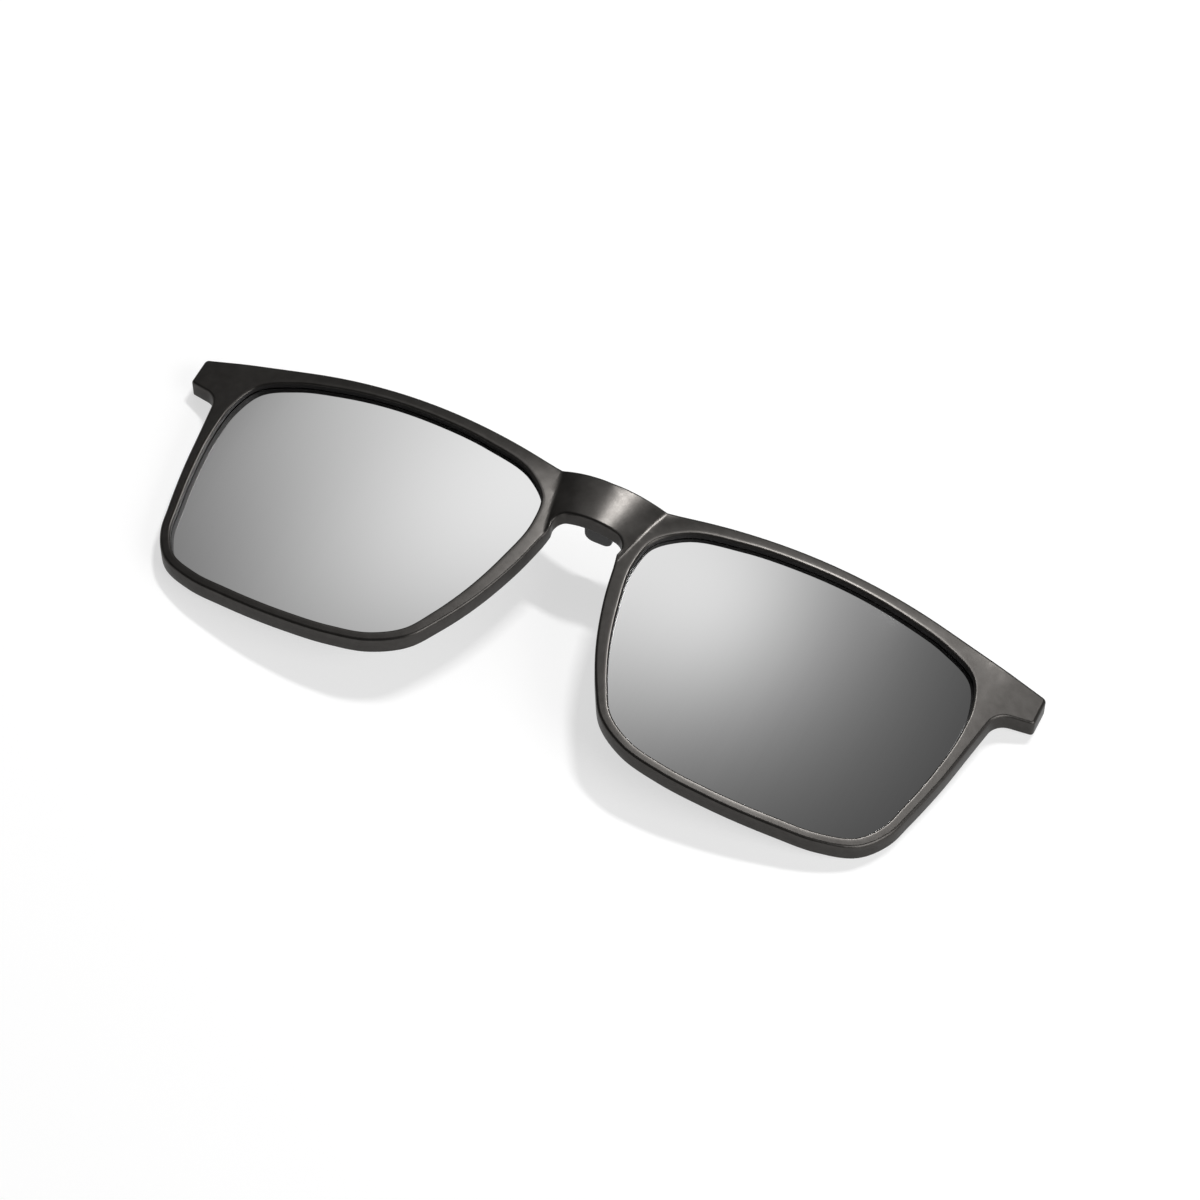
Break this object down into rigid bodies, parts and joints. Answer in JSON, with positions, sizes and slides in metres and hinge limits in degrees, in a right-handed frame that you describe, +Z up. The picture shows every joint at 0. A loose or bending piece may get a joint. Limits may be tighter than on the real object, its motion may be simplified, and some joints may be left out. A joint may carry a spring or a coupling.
{
  "type": "magnetic clip-on sunglasses",
  "caption": "Rimmed clip-on sunglass front with curved mirrored lenses, a bowed bridge with a hook behind it, and a magnet in the back of each end piece.",
  "frame": {"origin": "middle of the footprint, on the surface that the clip-on lies on", "axes": "+X across the front, to the right as its front face is looked at with the brow up; +Y towards the brow; +Z up, out of the front face"},
  "size_m": [0.144, 0.046, 0.0155],
  "materials": {
    "gunmetal_lacquer": "satin gunmetal lacquer on moulded nylon",
    "mirror_coated_lens": "silver flash mirror on a grey polarised lens",
    "hook_nylon": "satin black",
    "cap_plastic": "satin black",
    "nickel_plate": "bright nickel plate"
  },
  "bodies": {
    "root": {"front_frame": "gunmetal_lacquer", "lens_left": "mirror_coated_lens", "lens_right": "mirror_coated_lens", "bridge_hook": "hook_nylon", "magnet_left": "nickel_plate", "magnet_right": "nickel_plate", "magnet_cap_left": "cap_plastic", "magnet_cap_right": "cap_plastic"}
  },
  "joints": []
}
